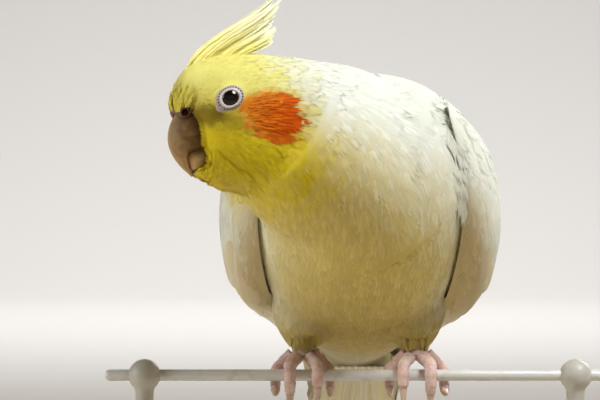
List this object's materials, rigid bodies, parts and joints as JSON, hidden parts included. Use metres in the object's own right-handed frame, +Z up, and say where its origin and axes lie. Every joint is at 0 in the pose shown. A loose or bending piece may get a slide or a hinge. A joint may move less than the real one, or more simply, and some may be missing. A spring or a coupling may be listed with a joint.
{
  "type": "cockatiel model",
  "caption": "Life-size cockatiel with a half-raised crest, leaning forward with its head turned, on a short wire perch held by a plain stand.",
  "frame": {"origin": "on the underside of the stand's base, straight below the middle of the perch", "axes": "+Z up, -Y the way the body faces, +X towards the bird's own left side, along the perch"},
  "size_m": [0.138, 0.233, 0.1965],
  "materials": {
    "torso": "pale yellow body plumage, soft and matt",
    "neck": "cream to pale yellow plumage, soft and matt",
    "head": "bright yellow face plumage with an orange cheek patch",
    "crest": "pale yellow crest feathers",
    "wing": "white flight feathers and coverts with a faint yellow wash",
    "tail": "white to pale yellow tail feathers",
    "eye": "very dark red-brown, wet gloss",
    "cere": "bare brown skin round the nostrils",
    "bill": "brown-grey horn, half gloss",
    "leg": "pink scaled skin",
    "claw": "pale horn",
    "perch": "white painted wire",
    "stand": "plain off-white satin paint"
  },
  "bodies": {
    "root": {"torso": "torso", "neck": "neck", "head": "head", "crest": "crest", "wing_left": "wing", "wing_right": "wing", "tail": "tail", "eye_left": "eye", "eye_right": "eye", "cere": "cere", "bill_upper": "bill", "bill_lower": "bill", "leg_left": "leg", "leg_right": "leg", "claw_left_1": "claw", "claw_left_2": "claw", "claw_left_3": "claw", "claw_left_4": "claw", "claw_right_1": "claw", "claw_right_2": "claw", "claw_right_3": "claw", "claw_right_4": "claw", "perch": "perch", "stand_base": "stand", "stand_rod_left": "stand", "stand_rod_right": "stand"}
  },
  "joints": []
}
